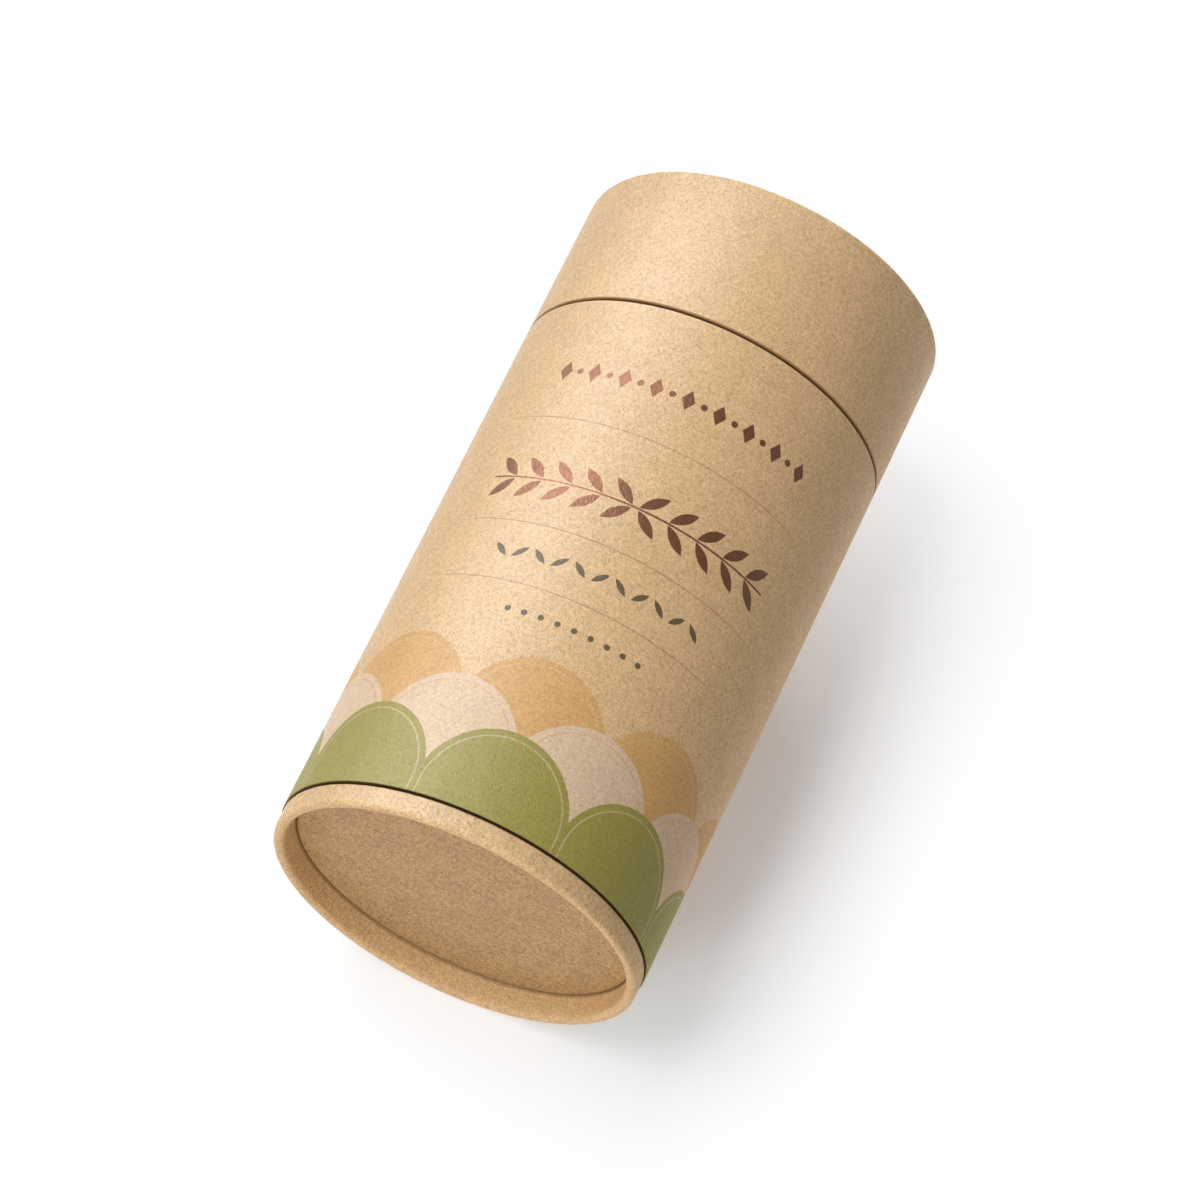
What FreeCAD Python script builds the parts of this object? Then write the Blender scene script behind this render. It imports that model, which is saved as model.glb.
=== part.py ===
import FreeCAD, Part
import collections
import math
import os

# A paperboard canister for dry goods: a kraft inner tube, a printed outer tube and a lid that pulls off.
# Millimetres, +Z up the tube, origin at the middle of the base, the front of the print facing -Y.

# Whole canister
outer_diameter = 80.0
overall_height = 160.0
lid_height = 34.05
rim_height = 4.6
base_joint_gap = 0.7
lid_joint_gap = 0.7
glue_line = 0.05

# Outer tube, and the printed paper that is wrapped round it and lapped down the back
outer_board = 1.3
wrap_paper = 0.35
lap_width = 9.0
lap_ramp = 2.5
lap_azimuth = 135.0

# Inner tube: its neck carries the lid, and its base end is rolled outward into the rim
inner_board = 1.2
rim_roll_gap = 0.25
rim_roll_round = 1.25
rim_bore_bevel = 0.9
rim_edge_bevel = 0.45
neck_edge_bevel = 0.4

# Base disc, the liner on it and the lining of the inner tube
base_recess = 5.9
base_disc_board = 1.8
base_disc_fit = 0.12
base_disc_edge_bevel = 0.3
base_liner_paper = 0.2
tube_liner_paper = 0.2

# Lid: a tube rolled inward at its top, over a disc and a pad
lid_clearance = 0.3
lid_roll_gap = 0.2
lid_roll_round = 1.0
lid_bore_bevel = 0.8
lid_mouth_bevel = 0.25
lid_recess = 5.9
lid_disc_board = 1.8
lid_disc_fit = 0.12
lid_pad_paper = 0.4

# Radii, from the outside in
outer_radius = outer_diameter / 2
wrap_bore = outer_radius - wrap_paper
outer_tube_radius = wrap_bore - glue_line
outer_tube_bore = outer_tube_radius - outer_board
inner_tube_radius = outer_tube_bore - glue_line
inner_tube_bore = inner_tube_radius - inner_board
tube_liner_radius = inner_tube_bore - glue_line
tube_liner_bore = tube_liner_radius - tube_liner_paper
base_disc_radius = inner_tube_bore - base_disc_fit

# Radii of the lid, whose outside is flush with the wrap
lid_bore = inner_tube_radius + lid_clearance
lid_board = outer_radius - lid_bore
lid_disc_radius = lid_bore - lid_disc_fit

# Heights, from the base up
outer_tube_bottom = rim_height + base_joint_gap
base_disc_top = base_recess + base_disc_board
base_liner_top = base_disc_top + base_liner_paper
lid_bottom = overall_height - lid_height
outer_tube_top = lid_bottom - lid_joint_gap
lid_disc_top = overall_height - lid_recess
lid_disc_bottom = lid_disc_top - lid_disc_board
neck_top = lid_disc_bottom - lid_pad_paper

axis_origin = FreeCAD.Vector(0, 0, 0)
axis_up = FreeCAD.Vector(0, 0, 1)
full_turn = 360.0

# A rolled bend is two arcs, each through three of these turns from its start
bend_turns = [math.radians(step * 22.5) for step in range(5)]

# A square corner of a turned section: where it is, how far it is cut back and whether the cut is an arc
Corner = collections.namedtuple("Corner", "point cut_back is_arc")


def sharp(radius, height):
    """Corner that stays square."""
    return Corner(FreeCAD.Vector(radius, 0, height), 0, False)


def eased(radius, height, bevel):
    """Corner with a straight bevel, as a pressed or crushed board edge has."""
    return Corner(FreeCAD.Vector(radius, 0, height), bevel, False)


def rolled(radius, height, rounding):
    """Corner that the board goes round in a quarter circle."""
    return Corner(FreeCAD.Vector(radius, 0, height), rounding, True)


def straight(first, last):
    return Part.LineSegment(first, last).toShape()


def turned(corners):
    """Solid of revolution about the tube's axis from the corners of its section."""
    edges = []
    for index, corner in enumerate(corners):
        before = corners[index - 1]
        after = corners[(index + 1) % len(corners)]
        way_back = (before.point - corner.point).normalize()
        way_on = (after.point - corner.point).normalize()
        start = corner.point + way_back * corner.cut_back
        end = corner.point + way_on * corner.cut_back
        edges.append(straight(before.point - way_back * before.cut_back, start))
        if corner.is_arc:
            centre = start + way_on * corner.cut_back
            bend = [centre - (way_on * math.cos(turn) + way_back * math.sin(turn)) * corner.cut_back
                    for turn in bend_turns]
            edges.append(Part.Arc(bend[0], bend[1], bend[2]).toShape())
            edges.append(Part.Arc(bend[2], bend[3], bend[4]).toShape())
        elif corner.cut_back:
            edges.append(straight(start, end))
    section = Part.Face(Part.Wire(edges))
    return section.revolve(axis_origin, axis_up, full_turn)


def ring(bore, radius, bottom, top):
    """Plain tube with square ends."""
    return turned([sharp(bore, bottom), sharp(radius, bottom), sharp(radius, top), sharp(bore, top)])


def disc(radius, bottom, top, edge_bevel):
    """Flat round board, with both edges of its rim eased."""
    return turned([
        sharp(0, bottom),
        eased(radius, bottom, edge_bevel),
        eased(radius, top, edge_bevel),
        sharp(0, top),
    ])


def make_inner_tube():
    """Tube whose wall turns outward and up again at the base, flattened where the canister stands on it."""
    rolled_leg_bore = inner_tube_radius + rim_roll_gap
    rim_radius = rolled_leg_bore + inner_board
    return turned([
        eased(inner_tube_bore, 0, rim_bore_bevel),
        rolled(rim_radius, 0, rim_roll_round),
        eased(rim_radius, rim_height, rim_edge_bevel),
        sharp(rolled_leg_bore, rim_height),
        sharp(rolled_leg_bore, inner_board),
        sharp(inner_tube_radius, inner_board),
        eased(inner_tube_radius, neck_top, neck_edge_bevel),
        eased(inner_tube_bore, neck_top, neck_edge_bevel),
    ])


def make_outer_tube():
    """Board tube glued over the inner one, stopping short of the rim and of the lid."""
    return ring(outer_tube_bore, outer_tube_radius, outer_tube_bottom, outer_tube_top)


def make_body_wrap():
    """Sheet of paper once round the outer tube, whose end climbs over its start and is glued down there."""
    lifted_bore = wrap_bore + wrap_paper + glue_line
    start = math.radians(lap_azimuth) - math.pi / 2
    ramp_foot = start + 2 * math.pi - lap_ramp / wrap_bore
    ramp_head = start + 2 * math.pi
    end = ramp_head + lap_width / wrap_bore

    def at(radius, angle):
        return FreeCAD.Vector(radius * math.cos(angle), radius * math.sin(angle), outer_tube_bottom)

    def along(radius, first, last):
        circle = Part.Circle(FreeCAD.Vector(0, 0, outer_tube_bottom), axis_up, radius)
        return Part.ArcOfCircle(circle, first, last).toShape()

    edges = [
        along(wrap_bore, start, ramp_foot),
        straight(at(wrap_bore, ramp_foot), at(lifted_bore, ramp_head)),
        along(lifted_bore, ramp_head, end),
        straight(at(lifted_bore, end), at(lifted_bore + wrap_paper, end)),
        along(lifted_bore + wrap_paper, ramp_head, end),
        straight(at(lifted_bore + wrap_paper, ramp_head), at(outer_radius, ramp_foot)),
        along(outer_radius, start, ramp_foot),
        straight(at(outer_radius, start), at(wrap_bore, start)),
    ]
    sheet = Part.Face(Part.Wire(edges))
    return sheet.extrude(axis_up * (outer_tube_top - outer_tube_bottom))


def make_base_disc():
    """Board glued into the inner tube, set back behind the rim."""
    return disc(base_disc_radius, base_recess, base_disc_top, base_disc_edge_bevel)


def make_base_liner():
    """Foil-faced paper on the inside of the base disc."""
    return disc(tube_liner_radius, base_disc_top, base_liner_top, 0)


def make_tube_liner():
    """Foil-faced paper lining the inner tube, up to where the neck's edge is eased."""
    return ring(tube_liner_bore, tube_liner_radius, base_liner_top, neck_top - neck_edge_bevel)


def make_lid_tube():
    """Tube whose wall turns inward and down again at the top, and ends on the lid disc."""
    rolled_leg_radius = lid_bore - lid_roll_gap
    rolled_leg_bore = rolled_leg_radius - lid_board
    fold_top = overall_height - lid_board
    return turned([
        eased(lid_bore, lid_bottom, lid_mouth_bevel),
        eased(outer_radius, lid_bottom, lid_mouth_bevel),
        rolled(outer_radius, overall_height, lid_roll_round),
        eased(rolled_leg_bore, overall_height, lid_bore_bevel),
        sharp(rolled_leg_bore, lid_disc_top),
        sharp(rolled_leg_radius, lid_disc_top),
        sharp(rolled_leg_radius, fold_top),
        sharp(lid_bore, fold_top),
    ])


def make_lid_disc():
    """Board glued into the lid, up against the end of its rolled edge."""
    return disc(lid_disc_radius, lid_disc_bottom, lid_disc_top, 0)


def make_lid_pad():
    """Foil-faced pad under the lid disc, which closes on the neck's edge."""
    return disc(lid_disc_radius, neck_top, lid_disc_bottom, 0)


pieces = {
    "inner_tube": make_inner_tube(),
    "outer_tube": make_outer_tube(),
    "body_wrap": make_body_wrap(),
    "base_disc": make_base_disc(),
    "base_liner": make_base_liner(),
    "tube_liner": make_tube_liner(),
    "lid_tube": make_lid_tube(),
    "lid_disc": make_lid_disc(),
    "lid_pad": make_lid_pad(),
}

os.makedirs("parts", exist_ok=True)
for name, shape in pieces.items():
    shape.exportStep("parts/" + name + ".step")
    print(name, shape.ShapeType, shape.isValid(), round(shape.Volume, 1))
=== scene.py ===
import math

import bmesh
import bpy
from mathutils import Matrix, Vector, noise


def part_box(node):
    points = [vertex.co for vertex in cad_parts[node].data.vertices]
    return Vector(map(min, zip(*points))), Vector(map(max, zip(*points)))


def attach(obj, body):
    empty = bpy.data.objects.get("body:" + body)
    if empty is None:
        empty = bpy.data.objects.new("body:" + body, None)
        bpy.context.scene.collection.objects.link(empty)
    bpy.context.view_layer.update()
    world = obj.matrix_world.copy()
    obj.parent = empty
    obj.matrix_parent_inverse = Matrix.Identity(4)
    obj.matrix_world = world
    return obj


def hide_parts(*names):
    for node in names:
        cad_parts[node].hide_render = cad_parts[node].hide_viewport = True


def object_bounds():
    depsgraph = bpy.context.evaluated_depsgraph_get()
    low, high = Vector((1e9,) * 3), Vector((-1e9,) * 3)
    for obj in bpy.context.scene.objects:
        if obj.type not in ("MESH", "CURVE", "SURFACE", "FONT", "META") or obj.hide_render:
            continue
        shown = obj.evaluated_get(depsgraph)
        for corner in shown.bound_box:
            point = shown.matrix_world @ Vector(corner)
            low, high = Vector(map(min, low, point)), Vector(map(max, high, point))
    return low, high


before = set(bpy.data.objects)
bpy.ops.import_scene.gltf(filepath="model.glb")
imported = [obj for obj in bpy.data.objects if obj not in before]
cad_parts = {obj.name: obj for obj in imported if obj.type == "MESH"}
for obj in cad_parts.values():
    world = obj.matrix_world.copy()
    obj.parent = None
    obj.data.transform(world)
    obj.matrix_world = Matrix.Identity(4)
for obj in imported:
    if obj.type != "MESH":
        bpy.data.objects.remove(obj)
cad_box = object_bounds()
bpy.context.scene.view_settings.view_transform = "Standard"

# Inner tube
# A tube wound from kraft board, as tall as the canister, whose upper end is the neck under the lid.
# Its lower end is curled outward and up again into a soft bead, the rim that the canister stands on.
mm = 0.001
turn_steps = 360
rounding_step = 0.12 * mm
same_point = 0.002 * mm
sharp_angle = math.radians(38)

inner_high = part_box("inner_tube")[1]
rim_radius = inner_high.x
neck_top = inner_high.z
inner_board = 1.2 * mm
curl_gap = 0.25 * mm
rim_height = 4.9 * mm
rim_outer_round = 1.05 * mm
rim_edge_round = 0.5 * mm
rim_foot_round = 1.25 * mm
flare_width = 0.3 * mm
flare_height = 4.6 * mm
flare_round = 2.4 * mm
neck_edge_round = 0.4 * mm
curled_leg_bore = rim_radius - inner_board
neck_radius = curled_leg_bore - curl_gap
inner_bore = neck_radius - inner_board


def turned(outline, closed=True):
    """Spin a section about the canister's axis. Each of its corners is (radius, height, rounding)."""
    shape = bmesh.new()
    corners = [shape.verts.new((radius, 0, height)) for radius, height, rounding in outline]
    shape.faces.new(corners)
    for corner, (radius, height, rounding) in zip(corners, outline):
        if rounding:
            bmesh.ops.bevel(shape, geom=[corner], affect="VERTICES", offset=rounding, offset_type="OFFSET",
                            segments=math.ceil(rounding / rounding_step), profile=0.5, material=-1)
    bmesh.ops.delete(shape, geom=shape.faces[:], context="FACES_ONLY")
    if not closed:
        on_axis = [edge for edge in shape.edges if all(vert.co.x < same_point for vert in edge.verts)]
        bmesh.ops.delete(shape, geom=on_axis, context="EDGES")
    bmesh.ops.spin(shape, geom=shape.verts[:] + shape.edges[:], cent=(0, 0, 0), axis=(0, 0, 1),
                   angle=2 * math.pi, steps=turn_steps, use_merge=True)
    bmesh.ops.remove_doubles(shape, verts=shape.verts, dist=same_point)
    bmesh.ops.recalc_face_normals(shape, faces=shape.faces)
    return shape


def dented(shape, low, high, depth, size):
    """Press soft dents into the part of a curled edge between two heights."""
    shape.normal_update()
    curl = [vert for vert in shape.verts if low <= vert.co.z <= high]
    steps = [vert.normal * -depth * (0.5 + 0.5 * noise.noise(vert.co / size)) for vert in curl]
    for vert, step in zip(curl, steps):
        vert.co += step


def finished(shape, name, material):
    """Make the piece's object from its bmesh, smooth but for its true edges."""
    mesh = bpy.data.meshes.new(name)
    shape.to_mesh(mesh)
    shape.free()
    mesh.shade_smooth()
    mesh.set_sharp_from_angle(angle=sharp_angle)
    mesh.materials.append(material)
    piece = bpy.data.objects.new(name, mesh)
    bpy.context.scene.collection.objects.link(piece)
    return piece


class Link:
    """An output socket of a shader's nodes. Arithmetic on links and numbers adds Math nodes."""

    def __init__(self, socket):
        self.socket = socket

    def node(self, kind, settings, values, output=0):
        """Add a node beside this one: its settings first, then its sockets' values or links."""
        made = self.socket.id_data.nodes.new(kind)
        for name, value in settings.items():
            setattr(made, name, value)
        return Link(made.outputs[output]).fed(values)

    def fed(self, values):
        """Give this link's own node the values or links of its sockets."""
        made = self.socket.node
        for name, value in values.items():
            if isinstance(value, Link):
                self.socket.id_data.links.new(value.socket, made.inputs[name])
            else:
                made.inputs[name].default_value = value
        return self

    def math(self, operation, *values):
        return self.node("ShaderNodeMath", {"operation": operation}, dict(enumerate(values)))

    def __add__(self, other):
        return self.math("ADD", self, other)

    def __sub__(self, other):
        return self.math("SUBTRACT", self, other)

    def __rsub__(self, other):
        return self.math("SUBTRACT", other, self)

    def __mul__(self, other):
        return self.math("MULTIPLY", self, other)

    def __truediv__(self, other):
        return self.math("DIVIDE", self, other)

    def __abs__(self):
        return self.math("ABSOLUTE", self)

    __radd__ = __add__
    __rmul__ = __mul__

    def most(self, other):
        return self.math("MAXIMUM", self, other)

    def above(self, low, high):
        """0 below low, 1 above high and an even slope between them."""
        return self.node("ShaderNodeMapRange", {}, {"Value": self, "From Min": low, "From Max": high})

    def blend(self, first, second):
        """Colour that goes from the first to the second as this link goes from 0 to 1."""
        return self.node("ShaderNodeMix", {"data_type": "RGBA"}, {0: self, 6: first, 7: second}, output=2)

    def speckle(self, size, detail=2, warp=0, shift=0):
        """Noise over this link, a place on the piece, with grains of about this size."""
        moved = self.node("ShaderNodeVectorMath", {"operation": "ADD"}, {0: self, 1: (shift, shift, shift)})
        values = {"Vector": moved, "Scale": 1 / size, "Detail": detail, "Distortion": warp}
        return self.node("ShaderNodeTexNoise", {}, values)


def bare_finish(name):
    """New material, its shader and the place on the piece that is shaded."""
    material = bpy.data.materials.new(name)
    material.use_nodes = True
    shader = Link(material.node_tree.nodes["Principled BSDF"].outputs[0])
    return material, shader, shader.node("ShaderNodeTexCoord", {}, {}, "Object")


cloud_size = 5 * mm
grain_size = 0.4 * mm
fibre_size = 0.8 * mm
fibre_half = 0.14
pale_fibre_shift = 31 * mm
dark_fibre_shift = 57 * mm
gap_shift = 19 * mm
gap_edges = (0.44, 0.54)
middle_tone = 0.51
cloud_shade = 0.3
grain_shade = 1.1
pale_fibre_shade = 0.22
dark_fibre_shade = 0.3
cloud_relief = 0.3
pale_fibre_relief = 0.4
dark_fibre_relief = 0.5
fleck_size = 1.1 * mm
fleck_shift = 83 * mm
fleck_edges = (0.22, 0.27)
fleck_shade = 0.4
relief_depth = 0.06 * mm


def pulp(place):
    """Kraft paper's tone, from 0 at its deepest to 1 at its palest, its dark flecks and its relief."""
    def fibres(shift):
        """Short curled lines where one noise crosses its middle, broken where another is low."""
        curls = place.speckle(fibre_size, detail=1, warp=0.5, shift=shift)
        line = (1 - abs(curls - 0.5) / fibre_half).above(0, 1)
        return line * place.speckle(fibre_size, detail=1, shift=shift + gap_shift).above(*gap_edges)

    cloud = place.speckle(cloud_size, detail=3)
    grain = place.speckle(grain_size, detail=1, warp=0.5)
    pale_fibres = fibres(pale_fibre_shift)
    dark_fibres = fibres(dark_fibre_shift)
    tone = middle_tone + (cloud - 0.5) * cloud_shade + (grain - 0.5) * grain_shade
    tone = tone + pale_fibres * pale_fibre_shade - dark_fibres * dark_fibre_shade
    flecks = 1 - place.speckle(fleck_size, detail=1, warp=1, shift=fleck_shift).above(*fleck_edges)
    relief = grain + cloud * cloud_relief + pale_fibres * pale_fibre_relief - dark_fibres * dark_fibre_relief
    return tone.above(0, 1), flecks * fleck_shade, relief


paper_shine = 0.3
paper_gloss = 0.52
pressed_gloss = 0.1
kraft_fleck = (0.26, 0.14, 0.06, 1)
# Darker colour for joints and corners: partly a glue stain, partly painted shade
stain_and_painted_shade = (0.26, 0.13, 0.04, 1)
pleat_size = 0.5 * mm
pleat_stretch = 0.1
pleat_fade = 1 * mm
pleat_shade = 0.38
pleat_share = 1.8


def kraft_finish(name, pale, deep, gloss, curl=None, stain_and_shade=None):
    """Bare kraft board. A curl is the range of heights where the board is curled and finely pleated.
    The last argument gives, at each place, the share of a darker colour that is partly a glue stain
    and partly painted shade where the board meets another part."""
    material, shader, place = bare_finish(name)
    tone, flecks, relief = pulp(place)
    if curl:
        height = place.node("ShaderNodeSeparateXYZ", {}, {0: place}, "Z")
        curled = (height - curl[0]).above(-pleat_fade, 0) * (curl[1] - height).above(-pleat_fade, 0)
        flat = place.node("ShaderNodeMapping", {}, {"Vector": place, "Scale": (1, 1, 0)})
        around = flat.node("ShaderNodeVectorMath", {"operation": "NORMALIZE"}, {0: flat})
        drawn = place.node("ShaderNodeMapping", {}, {"Vector": place, "Scale": [pleat_stretch] * 3})
        way_round = {0: around, 1: [rim_radius] * 3, 2: drawn}
        across_curl = around.node("ShaderNodeVectorMath", {"operation": "MULTIPLY_ADD"}, way_round)
        pleats = (across_curl.speckle(pleat_size) - 0.5) * curled
        tone = (tone + pleats * pleat_shade).above(0, 1)
        relief = relief + pleats * pleat_share
    colour = flecks.blend(tone.blend(deep, pale), kraft_fleck)
    # Painted shade: the darker colour in joints and corners is partly a glue stain and partly the shade that
    # falls there
    if stain_and_shade:
        colour = stain_and_shade(place).blend(colour, stain_and_painted_shade)
    bump = place.node("ShaderNodeBump", {}, {"Height": relief, "Strength": 1, "Distance": relief_depth})
    shader.fed({
        "Base Color": colour,
        "Roughness": gloss - tone * pressed_gloss,
        "Normal": bump,
        "Specular IOR Level": paper_shine,
    })
    return material


kraft_pale = (0.89, 0.615, 0.34, 1)
kraft_deep = (0.47, 0.295, 0.135, 1)
stain_and_shade_reach = 0.9 * mm
stain_and_shade_share = 0.75
dent_depth = 0.08 * mm
dent_size = 3 * mm
disc_low, disc_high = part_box("base_disc")


# Painted shade on the wall where the base disc meets it, partly a glue stain and partly the shade of that
# corner
def stain_and_shade_by_base(place):
    height = place.node("ShaderNodeSeparateXYZ", {}, {0: place}, "Z")
    return (stain_and_shade_reach - abs(height - disc_low.z)).above(0, stain_and_shade_reach) * stain_and_shade_share


rim_kraft = kraft_finish("rim_kraft", kraft_pale, kraft_deep, paper_gloss, (0, rim_height), stain_and_shade_by_base)

inner_tube_shape = turned([
    (inner_bore + flare_width, 0, rim_foot_round),
    (rim_radius, 0, rim_outer_round),
    (rim_radius, rim_height, rim_edge_round),
    (curled_leg_bore, rim_height, 0),
    (curled_leg_bore, inner_board, 0),
    (neck_radius, inner_board, 0),
    (neck_radius, neck_top, neck_edge_round),
    (inner_bore, neck_top, neck_edge_round),
    (inner_bore, flare_height, flare_round),
])
dented(inner_tube_shape, 0, rim_height, dent_depth, dent_size)
inner_tube = finished(inner_tube_shape, "inner_tube_kraft", rim_kraft)
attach(inner_tube, "canister")
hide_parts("inner_tube")

# Base disc
# A stiff round board glued into the inner tube just above the rim, so that it sits back out of harm.
# Its colour is darker than the tube's, painted shade for the recess it sits in, and its edge is slightly
# crushed where it was pushed in.
disc_edge_round = 0.35 * mm
# Painted shade: the disc's colours are darker than the tube's kraft to stand in for the shade in the recess
shaded_disc_pale = (0.74, 0.47, 0.235, 1)
shaded_disc_deep = (0.20, 0.115, 0.048, 1)
disc_gloss = 0.6


# Painted shade round the disc's edge, partly a glue stain and partly the shade of the corner by the wall
def stain_and_shade_at_disc_edge(place):
    flat = place.node("ShaderNodeMapping", {}, {"Vector": place, "Scale": (1, 1, 0)})
    radius = flat.node("ShaderNodeVectorMath", {"operation": "LENGTH"}, {0: flat}, "Value")
    return (radius - disc_high.x + disc_edge_round).above(0, disc_edge_round) * stain_and_shade_share


disc_board = kraft_finish("disc_board", shaded_disc_pale, shaded_disc_deep, disc_gloss, stain_and_shade=stain_and_shade_at_disc_edge)


def board_disc(radius, low, high, edge_round):
    """A round board, as high as its two heights say, with both edges eased."""
    outline = [(0, low, 0), (radius, low, edge_round), (radius, high, edge_round), (0, high, 0)]
    return turned(outline, closed=False)


base_disc_shape = board_disc(disc_high.x, disc_low.z, disc_high.z, disc_edge_round)
base_disc = finished(base_disc_shape, "base_disc_board", disc_board)
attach(base_disc, "canister")
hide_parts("base_disc")

# Base liner and tube liner
# Foil-faced paper: a round on the inside of the base disc, and a sheet glued round the inner tube.
# The foil is rolled thin and dull, with a fine brushed grain and a few soft dents from the winding.
foil_tone = (0.80, 0.80, 0.79, 1)
foil_shade = (0.62, 0.62, 0.61, 1)
foil_grain = 0.35 * mm
foil_stretch = 0.08
foil_dent = 9 * mm
foil_dent_depth = 0.1 * mm
brushed_relief = 0.04
foil_gloss = 0.3
brushed_gloss = 0.2
foil_metal = 0.9


def foil_finish(name):
    material, shader, place = bare_finish(name)
    drawn = place.node("ShaderNodeMapping", {}, {"Vector": place, "Scale": (1, 1, foil_stretch)})
    brushed = drawn.speckle(foil_grain)
    relief = place.speckle(foil_dent) + brushed * brushed_relief
    bump = place.node("ShaderNodeBump", {}, {"Height": relief, "Strength": 1, "Distance": foil_dent_depth})
    shader.fed({
        "Base Color": brushed.blend(foil_shade, foil_tone),
        "Roughness": brushed * brushed_gloss + foil_gloss,
        "Normal": bump,
        "Metallic": foil_metal,
    })
    return material


foil = foil_finish("foil_liner")
liner_low, liner_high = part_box("base_liner")
base_liner = finished(board_disc(liner_high.x, liner_low.z, liner_high.z, 0), "base_liner_foil", foil)
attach(base_liner, "canister")
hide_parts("base_liner")

lining_low, lining_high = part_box("tube_liner")
lining_paper = 0.2 * mm
lining_bore = lining_high.x - lining_paper
tube_liner_shape = turned([
    (lining_bore, lining_low.z, 0),
    (lining_high.x, lining_low.z, 0),
    (lining_high.x, lining_high.z, 0),
    (lining_bore, lining_high.z, 0),
])
tube_liner = finished(tube_liner_shape, "tube_liner_foil", foil)
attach(tube_liner, "canister")
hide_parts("tube_liner")

# Outer tube
# A second board tube glued over the inner one, which thickens the body out to the lid's diameter.
# It is plain core board and shows only as the raw edges at the two joints. Its near-black colour is partly
# the raw board and partly painted shade for the narrow gaps there.
# Painted shade: near-black colours stand in for the shade in the gaps at the joints
shaded_core_pale = (0.11, 0.055, 0.02, 1)
shaded_core_deep = (0.05, 0.024, 0.008, 1)
core_gloss = 0.8
core_board = kraft_finish("core_board", shaded_core_pale, shaded_core_deep, core_gloss)
outer_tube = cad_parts["outer_tube"]
outer_tube.data.materials.clear()
outer_tube.data.materials.append(core_board)

# Body wrap
# Kraft paper wrapped once round the outer tube and lapped at the back, where its end is glued down.
# It is printed before wrapping: a border of overlapping scales, three hair rules and rows of ornament.
wrap_low, wrap_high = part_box("body_wrap")
wrap_paper = 0.35 * mm
glue_line = 0.05 * mm
wrap_radius = wrap_high.x
wrap_bore = wrap_radius - wrap_paper
wrap_edge_round = 0.12 * mm
outer_lean = 0.5
lap_start = math.radians(45)
lap_width = 9 * mm
ramp_width = 2.5 * mm
lap_angle = lap_width / wrap_bore
ramp_angle = ramp_width / wrap_bore
lap_lift = wrap_paper + glue_line
ramp_steps = 8
lap_steps = 16

wrap_shape = bmesh.new()
start_radius = Vector((math.cos(lap_start), math.sin(lap_start), 0)) * wrap_bore
wrap_ends = (wrap_low.z, wrap_high.z)
first_ends = [wrap_shape.verts.new(start_radius + Vector((0, 0, height))) for height in wrap_ends]
last_edge = [wrap_shape.edges.new(first_ends)]


def wind_on(shape, edge, angle, steps):
    """Wind the sheet on from its last edge. Gives the new vertices and the new last edge."""
    before = set(shape.verts)
    wound = bmesh.ops.spin(shape, geom=edge, cent=(0, 0, 0), axis=(0, 0, 1), angle=angle, steps=steps)
    last = [item for item in wound["geom_last"] if isinstance(item, bmesh.types.BMEdge)]
    return [vert for vert in shape.verts if vert not in before], last


last_edge = wind_on(wrap_shape, last_edge, 2 * math.pi - ramp_angle, turn_steps)[1]
ramp_verts, last_edge = wind_on(wrap_shape, last_edge, ramp_angle, ramp_steps)
lap_verts = wind_on(wrap_shape, last_edge, lap_angle, lap_steps)[0]
for vert in ramp_verts:
    short_of_lap = (lap_start - math.atan2(vert.co.y, vert.co.x)) / ramp_angle
    climb = 1 - min(max(short_of_lap, 0), 1)
    vert.co += Vector((vert.co.x, vert.co.y, 0)).normalized() * lap_lift * climb
for vert in lap_verts:
    vert.co += Vector((vert.co.x, vert.co.y, 0)).normalized() * lap_lift
bmesh.ops.recalc_face_normals(wrap_shape, faces=wrap_shape.faces)
wrap_shape.normal_update()
if wrap_shape.faces[0].normal.dot(wrap_shape.faces[0].calc_center_median()) < 0:
    bmesh.ops.reverse_faces(wrap_shape, faces=wrap_shape.faces)
bmesh.ops.solidify(wrap_shape, geom=wrap_shape.faces[:], thickness=-wrap_paper)
wrap_shape.normal_update()


def at_wrap_end(edge):
    """True for an edge along the outside of the sheet's top or bottom."""
    first, second = (vert.co for vert in edge.verts)
    level = abs(first.z - second.z) < same_point
    out = (first + second).xy.normalized()
    outer_faces = [face for face in edge.link_faces if face.normal.xy.dot(out) > outer_lean]
    return level and len(outer_faces) == 1


end_edges = [edge for edge in wrap_shape.edges if at_wrap_end(edge)]
bmesh.ops.bevel(wrap_shape, geom=end_edges, affect="EDGES", offset=wrap_edge_round, offset_type="OFFSET",
                segments=2, profile=0.5, material=-1)

scale_count = 8
scale_pitch = 2 * math.pi * wrap_radius / scale_count
scale_radius = 16.4 * mm
olive_rise = 8 * mm
cream_rise = 16.6 * mm
ochre_rise = 25.2 * mm
inset_line = 1.5 * mm
line_half = 0.17 * mm
rule_heights = (95.3 * mm, 69.5 * mm, 55.5 * mm)
rule_reach = 38 * mm
rule_half = 0.12 * mm
rule_fade = 0.25
bead_height = 107 * mm
bead_pitch = 7 * mm
bead_reach = 31.5 * mm
bead_half_width = 1.5 * mm
bead_half_height = 2.4 * mm
bead_dot = 0.75 * mm
leaf_height = 80 * mm
leaf_pitch = 6.6 * mm
leaf_reach = 33 * mm
leaf_offset = 2.6 * mm
leaf_lean = math.radians(42)
leaf_half_length = 3.4 * mm
leaf_half_width = 1.15 * mm
stem_half = 0.22 * mm
seed_height = 62.5 * mm
seed_pitch = 4.4 * mm
seed_reach = 24.2 * mm
seed_half_length = 2.1 * mm
seed_half_width = 0.66 * mm
point_height = 49.5 * mm
point_pitch = 3.6 * mm
point_reach = 16.2 * mm
point_radius = 0.66 * mm
print_front = math.radians(-5)
ink_edge = 0.05 * mm
ink_fray = 0.16 * mm
fray_size = 0.7 * mm
ink_depth = 0.22
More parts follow.
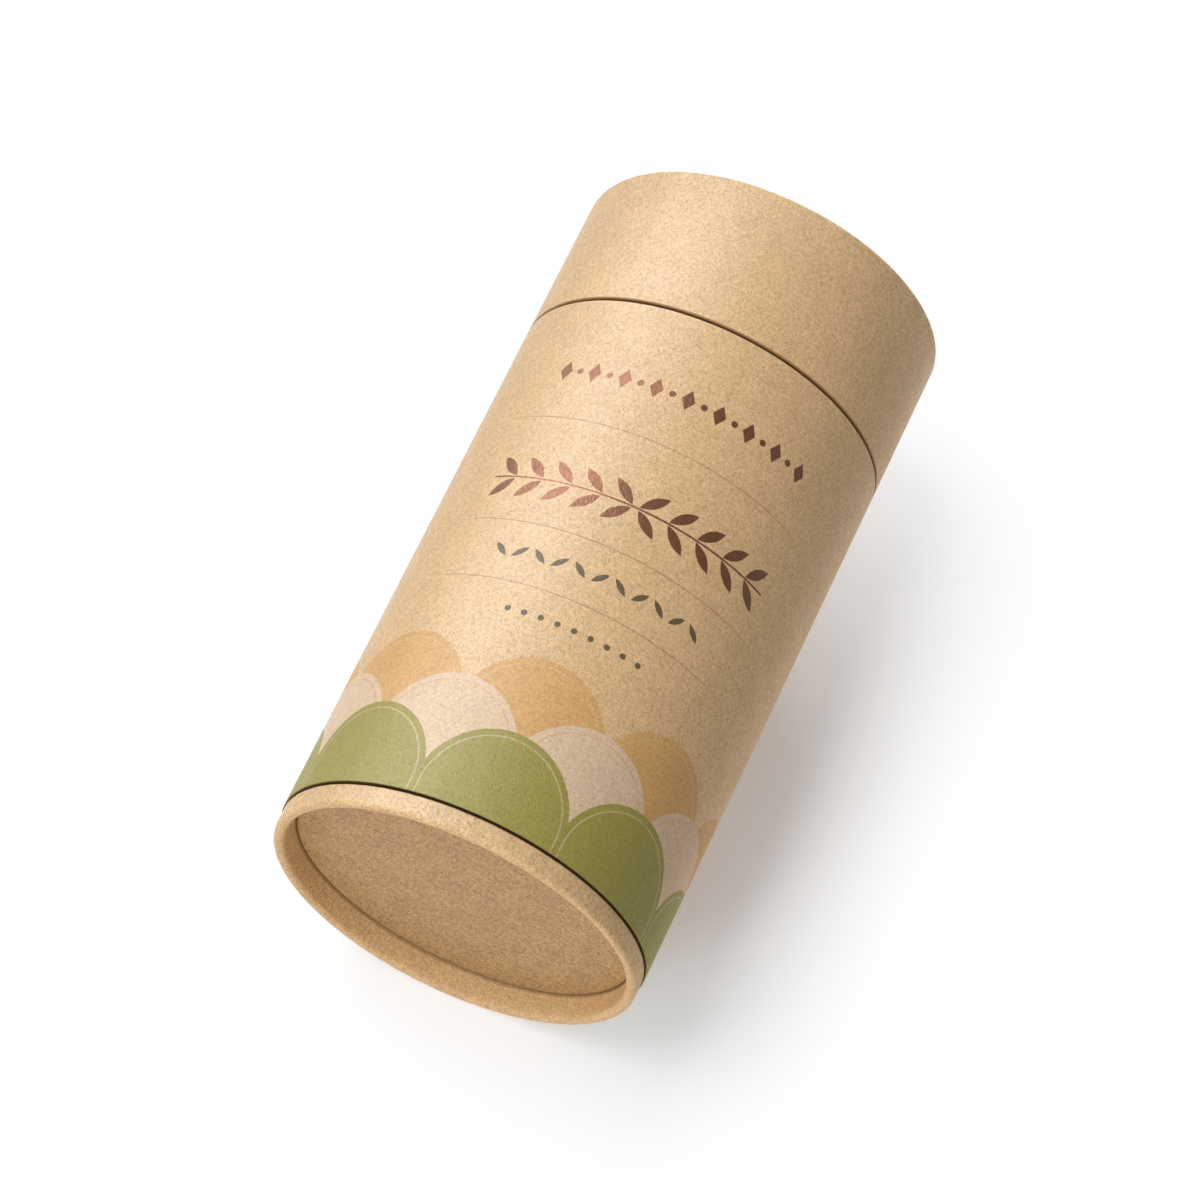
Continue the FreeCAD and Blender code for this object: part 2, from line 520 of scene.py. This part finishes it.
scale_cover = 0.97
line_gap = 0.5
rule_cover = 0.85
copper_cover = 0.95
caption_cover = 0.92
ink_gloss = 0.08
copper_gloss = 0.06
copper_metal = 0.4
olive_ink = (0.29, 0.26, 0.05)
cream_ink = (0.69, 0.51, 0.35)
ochre_ink = (0.62, 0.355, 0.13)
copper_ink = (0.085, 0.021, 0.006)
caption_ink = (0.05, 0.038, 0.01)
rule_ink = (0.36, 0.21, 0.095)
# A pale band along the wrap's upper edge, partly the unprinted cut and partly a painted highlight
pale_edge_width = 0.35 * mm
pale_edge_and_highlight_share = 0.5


def printed_finish(name):
    """The wrap's paper and its print, on the arc round the wrap and the height up it."""
    material, shader, place = bare_finish(name)
    tone, flecks, relief = pulp(place)
    x = place.node("ShaderNodeSeparateXYZ", {}, {0: place}, "X")
    y = place.node("ShaderNodeSeparateXYZ", {}, {0: place}, "Y")
    z = place.node("ShaderNodeSeparateXYZ", {}, {0: place}, "Z")
    arc = (x.math("ARCTAN2", x, 0 - y) - print_front) * wrap_radius
    fray = (place.speckle(fray_size) - 0.5) * ink_fray

    def inked(depth):
        """1 where a shape's depth, its distance inside its own edge, is more than nothing."""
        return (depth + fray).above(-ink_edge, ink_edge)

    def within(reach):
        """1 on the front of the wrap, as far round as a row reaches to each side."""
        return (reach - abs(arc)).above(-ink_edge, ink_edge)

    def tinted(ink):
        """An ink with the paper's tone showing through it."""
        deep_ink = [part * (1 - ink_depth) for part in ink] + [1]
        pale_ink = [part * (1 + ink_depth) for part in ink] + [1]
        return tone.blend(deep_ink, pale_ink)

    def repeated(along, pitch):
        """Distance from the middle of the nearest of the places that are a pitch apart."""
        cells = along / pitch + 0.5
        return (cells.math("FRACT", cells) - 0.5) * pitch

    def length(across, up):
        return across.math("SQRT", across * across + up * up)

    def leaf(across, up, half_length, half_width):
        """Depth inside a pointed leaf that leans off its row."""
        along = (across * math.cos(leaf_lean) + up * math.sin(leaf_lean)) / half_length
        aside = up * math.cos(leaf_lean) - across * math.sin(leaf_lean)
        return half_width - along * along * half_width - abs(aside)

    # The border of scales, from its back row to its front row, each with a fine line inside its edge
    colour = flecks.blend(tone.blend(kraft_deep, kraft_pale), kraft_fleck)
    inks = tone * 0
    back_row = (ochre_ink, 0, ochre_rise)
    middle_row = (cream_ink, scale_pitch / 2, cream_rise)
    front_row = (olive_ink, 0, olive_rise)
    for ink, shift, rise in (back_row, middle_row, front_row):
        across = repeated(arc + shift, scale_pitch)
        depth = scale_radius - length(across, (z - rise).most(0))
        fine_line = inked(line_half - abs(depth - inset_line))
        cover = inked(depth) * (scale_cover - fine_line * line_gap)
        colour = cover.blend(colour, tinted(ink))
        inks = inks.most(cover)

    # Three hair rules, which thin out towards their ends
    for height in rule_heights:
        fade = (rule_reach - abs(arc)).above(0, rule_reach * rule_fade)
        rule = inked(rule_half - abs(z - height)) * fade
        colour = (rule * rule_cover).blend(colour, tinted(rule_ink))

    # A row of lozenges with dots between them, and a taller row of leaves along a stem, in copper
    up = z - bead_height
    slope = bead_half_height / bead_half_width
    beads = inked(bead_half_height - abs(repeated(arc, bead_pitch)) * slope - abs(up)) * within(bead_reach)
    dots = inked(bead_dot - length(repeated(arc + bead_pitch / 2, bead_pitch), up))
    beads = beads.most(dots * within(bead_reach - bead_pitch / 2))
    up = abs(z - leaf_height)
    outward = repeated(abs(arc) + leaf_pitch / 2, leaf_pitch)
    leaves = inked(leaf(outward, up - leaf_offset, leaf_half_length, leaf_half_width))
    leaves = leaves.most(inked(stem_half - up)) * within(leaf_reach)
    copper = beads.most(leaves)
    colour = (copper * copper_cover).blend(colour, tinted(copper_ink))

    # A row of seeds that lean each way in turn, and a row of points, in dark olive
    turn = repeated(arc + seed_pitch / 2, seed_pitch * 2)
    up = (z - seed_height) * turn.math("SIGN", turn)
    seeds = inked(leaf(repeated(arc, seed_pitch), up, seed_half_length, seed_half_width)) * within(seed_reach)
    points = inked(point_radius - length(repeated(arc, point_pitch), z - point_height)) * within(point_reach)
    captions = seeds.most(points)
    colour = (captions * caption_cover).blend(colour, tinted(caption_ink))
    inks = inks.most(captions)

    # The paper is paler along its cut upper edge, partly its unprinted cut and partly a painted highlight
    # where the edge catches the light
    pale_edge_and_highlight = (z - wrap_high.z + pale_edge_width).above(0, pale_edge_width)
    colour = (pale_edge_and_highlight * pale_edge_and_highlight_share).blend(colour, kraft_pale)
    bump = place.node("ShaderNodeBump", {}, {"Height": relief, "Strength": 1, "Distance": relief_depth})
    shader.fed({
        "Base Color": colour,
        "Roughness": paper_gloss - tone * pressed_gloss + inks * ink_gloss - copper * copper_gloss,
        "Metallic": copper * copper_metal,
        "Normal": bump,
        "Specular IOR Level": paper_shine,
    })
    return material


printed_paper = printed_finish("printed_paper")
body_wrap = finished(wrap_shape, "body_wrap_print", printed_paper)
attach(body_wrap, "canister")
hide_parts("body_wrap")

# Lid tube
# A short kraft tube that slides over the neck. Its upper end is curled inward and down again,
# which makes the rounded shoulder of the lid and holds the lid disc from above.
lid_low, lid_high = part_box("lid_tube")
lid_disc_low, lid_disc_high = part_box("lid_disc")
lid_radius = lid_high.x
lid_clearance = 0.3 * mm
lid_curl_gap = 0.2 * mm
lid_outer_round = 1.0 * mm
lid_inner_round = 1.2 * mm
lid_mouth_round = 0.4 * mm
lid_bore = neck_radius + lid_clearance
lid_board = lid_radius - lid_bore
lid_leg_radius = lid_bore - lid_curl_gap
lid_leg_bore = lid_leg_radius - lid_board
lid_tube_shape = turned([
    (lid_bore, lid_low.z, lid_mouth_round),
    (lid_radius, lid_low.z, lid_mouth_round),
    (lid_radius, lid_high.z, lid_outer_round),
    (lid_leg_bore, lid_high.z, lid_inner_round),
    (lid_leg_bore, lid_disc_high.z, 0),
    (lid_leg_radius, lid_disc_high.z, 0),
    (lid_leg_radius, lid_high.z - lid_board, 0),
    (lid_bore, lid_high.z - lid_board, 0),
])
dented(lid_tube_shape, lid_high.z - lid_outer_round, lid_high.z, dent_depth, dent_size)
lid_curl = (lid_high.z - lid_outer_round, lid_high.z)
# Painted shade at the lid's lower edge, partly a stain on the raw board and partly the shade of the gap at
# the joint
mouth_stain_and_shade_width = 0.45 * mm
mouth_stain_and_shade_share = 0.9


def stain_and_shade_at_mouth(place):
    height = place.node("ShaderNodeSeparateXYZ", {}, {0: place}, "Z")
    return (lid_low.z + mouth_stain_and_shade_width - height).above(0, mouth_stain_and_shade_width / 2) * mouth_stain_and_shade_share


lid_kraft = kraft_finish("lid_kraft", kraft_pale, kraft_deep, paper_gloss, lid_curl, stain_and_shade_at_mouth)
lid_tube = finished(lid_tube_shape, "lid_tube_kraft", lid_kraft)
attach(lid_tube, "lid")
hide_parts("lid_tube")

# Lid disc and lid pad
# The same stiff board as the base, glued under the curled edge of the lid, and below it a foil-faced
# pad that comes down on the neck's edge and closes the canister.
lid_disc_shape = board_disc(lid_disc_high.x, lid_disc_low.z, lid_disc_high.z, 0)
lid_disc = finished(lid_disc_shape, "lid_disc_board", disc_board)
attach(lid_disc, "lid")
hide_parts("lid_disc")

pad_low, pad_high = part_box("lid_pad")
lid_pad = finished(board_disc(pad_high.x, pad_low.z, pad_high.z, 0), "lid_pad_foil", foil)
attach(lid_pad, "lid")
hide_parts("lid_pad")

# Camera
# It looks up at the base of the upright canister, turned so that the canister leans to the right.
camera_rise = math.radians(26.06)
camera_roll = math.radians(26.34)
camera_distance = 1.090
camera_right = 27.48 * mm
camera_up = 59.24 * mm
aim_height = 4.95 * mm
camera_sensor = 36
camera_lens = 163.8
camera_data = bpy.data.cameras.new("camera")
camera_data.sensor_width = camera_sensor
camera_data.lens = camera_lens
camera = bpy.data.objects.new("camera", camera_data)
bpy.context.scene.collection.objects.link(camera)
facing = Matrix.Rotation(math.pi / 2 + camera_rise, 4, "X") @ Matrix.Rotation(camera_roll, 4, "Z")
aside = Matrix.Translation((camera_right, camera_up, camera_distance))
camera.matrix_world = Matrix.Translation((0, 0, aim_height)) @ facing @ aside
bpy.context.scene.camera = camera

# Floor
# White boards. The canister lies against the first as it lies on a table, and stands on the second
# when it is seen from above. Each shows its front only, keeps the canister's shadow and fades into white.
floor_size = 8
floor_white = (0.95, 0.95, 0.95, 1)
floor_bounce = (0.88, 0.82, 0.72, 1)
floor_lift = (0.12, 0.15, 0.185, 1)
bright_lift = (0.3, 0.3, 0.3, 1)
no_light = (0, 0, 0, 1)
full_light = (1, 1, 1, 1)
tube_up = Vector((0, 0, 1))
image_right = (facing @ Vector((1, 0, 0))).normalized()
lying_normal = image_right.cross(tube_up).normalized()
tube_left = lying_normal.cross(tube_up).normalized()
lying_aside = 20 * mm
lying_rise = 60 * mm
lying_reach = (28 * mm, 115 * mm)
standing_forward = 60 * mm
standing_reach = (40 * mm, 100 * mm)


def seen(link):
    """1 for rays from the camera, straight or by a reflection, and 0 for the rest."""
    kinds = ("Is Camera Ray", "Is Glossy Ray", "Is Transmission Ray")
    rays = [link.node("ShaderNodeLightPath", {}, {}, kind) for kind in kinds]
    return rays[0].most(rays[1]).most(rays[2])


def board_finish(name, lift, middle, reach, sheer):
    """White board that keeps a shadow in full as far from its middle as the first reach. By the second it
    has faded, if it is sheer to nothing and otherwise to the white of the surround."""
    material, shader, place = bare_finish(name)
    backfacing = place.node("ShaderNodeNewGeometry", {}, {}, "Backfacing")
    distance = place.node("ShaderNodeVectorMath", {"operation": "DISTANCE"}, {0: place, 1: middle}, "Value")
    looked_at = seen(place)
    faded = looked_at * distance.above(*reach)
    shown = 1 - backfacing
    looked_at_white = floor_white if sheer else faded.blend(floor_white, no_light)
    shader.fed({
        "Base Color": looked_at.blend(floor_bounce, looked_at_white),
        "Roughness": 1,
        "Specular IOR Level": 0,
        "Emission Color": looked_at.blend(no_light, lift if sheer else faded.blend(lift, full_light)),
        "Emission Strength": 1,
        "Alpha": shown * (1 - faded) if sheer else shown,
    })
    return material


def white_board(name, middle, normal, material, throws_light):
    """A flat board that lets all the lamps' light past. Only one that throws light shows on the canister."""
    shape = bmesh.new()
    bmesh.ops.create_grid(shape, x_segments=1, y_segments=1, size=floor_size / 2)
    turn = tube_up.rotation_difference(normal).to_matrix()
    bmesh.ops.rotate(shape, verts=shape.verts, cent=(0, 0, 0), matrix=turn)
    bmesh.ops.translate(shape, verts=shape.verts, vec=middle)
    floor = finished(shape, name, material)
    floor.visible_shadow = False
    floor.visible_diffuse = throws_light
    floor.visible_glossy = throws_light


lying_contact = lying_normal * -(wrap_radius + lap_lift)
lying_middle = lying_contact - tube_left * lying_aside + tube_up * lying_rise
lying_white = board_finish("lying_white", floor_lift, lying_middle, lying_reach, sheer=False)
white_board("lying_floor", lying_middle, lying_normal, lying_white, throws_light=True)
standing_middle = lying_normal * standing_forward
standing_white = board_finish("standing_white", bright_lift, standing_middle, standing_reach, sheer=True)
white_board("standing_floor", standing_middle, tube_up, standing_white, throws_light=False)

# Studio light
# A large lamp over the left of the lying canister, one beside it that only gives the paper its sheen, a low
# one before its base, one along its axis, two for the sides that these do not reach, and a dim surround.
lamp_distance = 1.3
canister_middle = Vector((0, 0, cad_box[1][2] / 2))


def soft_lamp(name, direction, across, along, level, tint):
    """A lamp that gives this level on a white board that faces it by the canister. It is as wide as
    across says, and along is its size in the direction of the canister's axis."""
    lamp_data = bpy.data.lights.new(name, "AREA")
    lamp_data.shape = "ELLIPSE"
    lamp_data.size = across
    lamp_data.size_y = along
    lamp_data.color = tint
    lamp_data.energy = level * (math.pi * lamp_distance) ** 2
    lamp = bpy.data.objects.new(name, lamp_data)
    bpy.context.scene.collection.objects.link(lamp)
    turn = direction.to_track_quat("Z", "Y").to_matrix().to_4x4()
    lamp.matrix_world = Matrix.Translation(canister_middle + direction.normalized() * lamp_distance) @ turn
    lamp.visible_camera = False
    return lamp


plain_white = (1, 1, 1)
warm_white = (1, 0.97, 0.93)
key_direction = lying_normal * 0.91 + tube_left * 0.37 - tube_up * 0.02
soft_lamp("key_lamp", key_direction, across=0.9, along=1.6, level=0.97, tint=plain_white)
sheen_direction = lying_normal * 0.62 + tube_left * 0.66 + tube_up * 0.36
sheen_lamp = soft_lamp("sheen_lamp", sheen_direction, across=1.2, along=1.3, level=2.6, tint=plain_white)
sheen_lamp.visible_diffuse = False
front_direction = lying_normal * 0.45 - tube_up * 0.89
soft_lamp("front_lamp", front_direction, across=0.9, along=0.9, level=0.45, tint=warm_white)
soft_lamp("top_lamp", tube_up, across=0.5, along=0.5, level=0.5, tint=plain_white)
back_direction = Vector((-0.26, 0.97, 0.25))
soft_lamp("back_lamp", back_direction, across=0.8, along=0.8, level=0.45, tint=plain_white)
side_direction = Vector((0.64, 0.77, 0.1))
side_lamp = soft_lamp("side_lamp", side_direction, across=0.8, along=0.8, level=0.22, tint=plain_white)
side_lamp.visible_glossy = False

world = bpy.data.worlds.new("pale_surround")
bpy.context.scene.world = world
world.use_nodes = True
surround_level = 0.07
surround = Link(world.node_tree.nodes["Background"].outputs[0])
dim_surround = [part * surround_level for part in warm_white] + [1]
surround.fed({"Color": seen(surround).blend(dim_surround, full_light), "Strength": 1})
